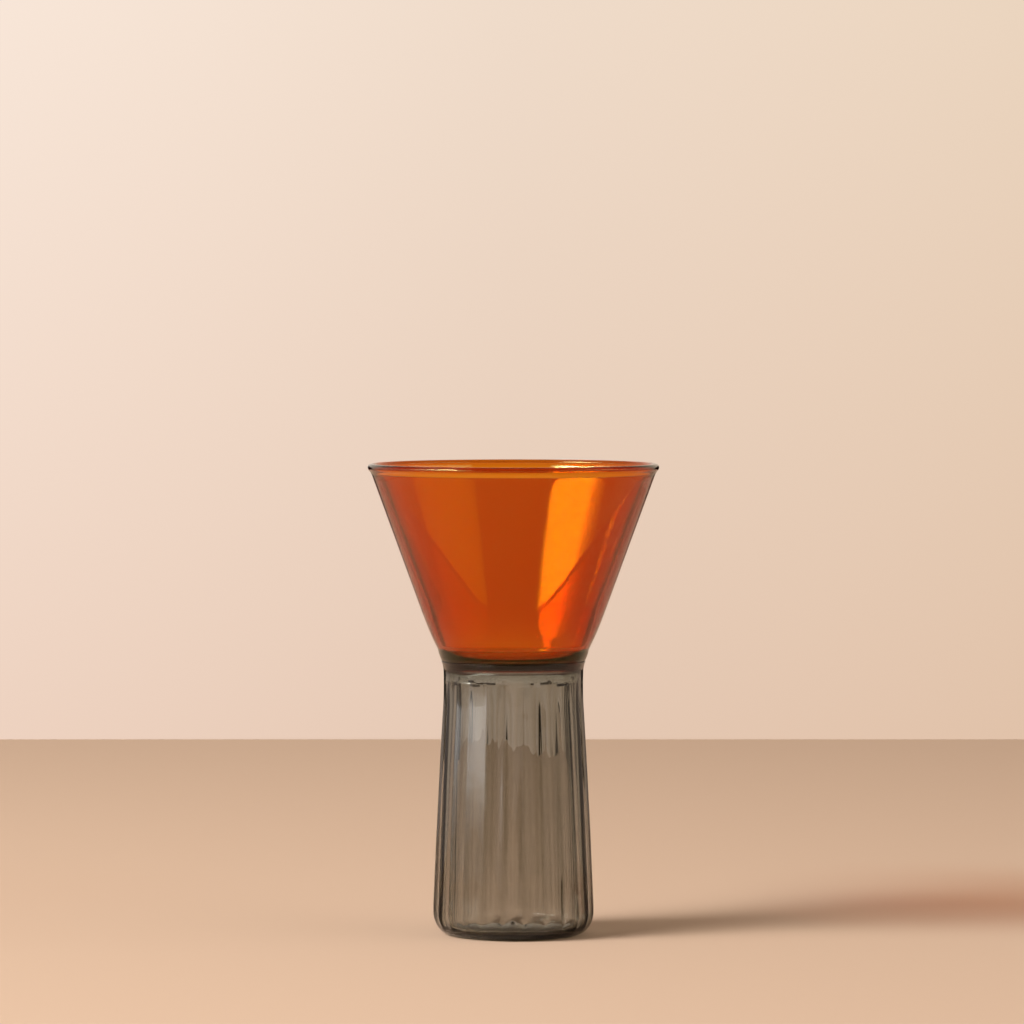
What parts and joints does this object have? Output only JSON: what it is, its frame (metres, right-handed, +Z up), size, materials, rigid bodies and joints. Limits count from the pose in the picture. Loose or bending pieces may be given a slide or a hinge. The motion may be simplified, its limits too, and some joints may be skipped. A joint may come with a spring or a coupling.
{
  "type": "cortado glass",
  "caption": "Two-tone stemless cortado glass: an amber conical bowl with a beaded rim, fused on a hollow, vertically fluted foot of smoke-grey glass.",
  "frame": {"origin": "centre of the standing ring, on the table", "axes": "+Z up along the axis of the foot and the bowl; the glass is round, so +X and +Y are free"},
  "size_m": [0.086, 0.086, 0.139],
  "materials": {
    "amber_glass": "clear fire-polished amber borosilicate glass",
    "smoke_glass": "clear mould-blown smoke-grey borosilicate glass, fluted outside",
    "seam_glass": "clear glass, melted where amber and grey meet",
    "seal_glass": "clear smoke-grey glass, closed in the flame"
  },
  "bodies": {
    "root": {"amber_bowl": "amber_glass", "smoke_foot": "smoke_glass", "seam_ring": "seam_glass", "vent_seal": "seal_glass"}
  },
  "joints": []
}
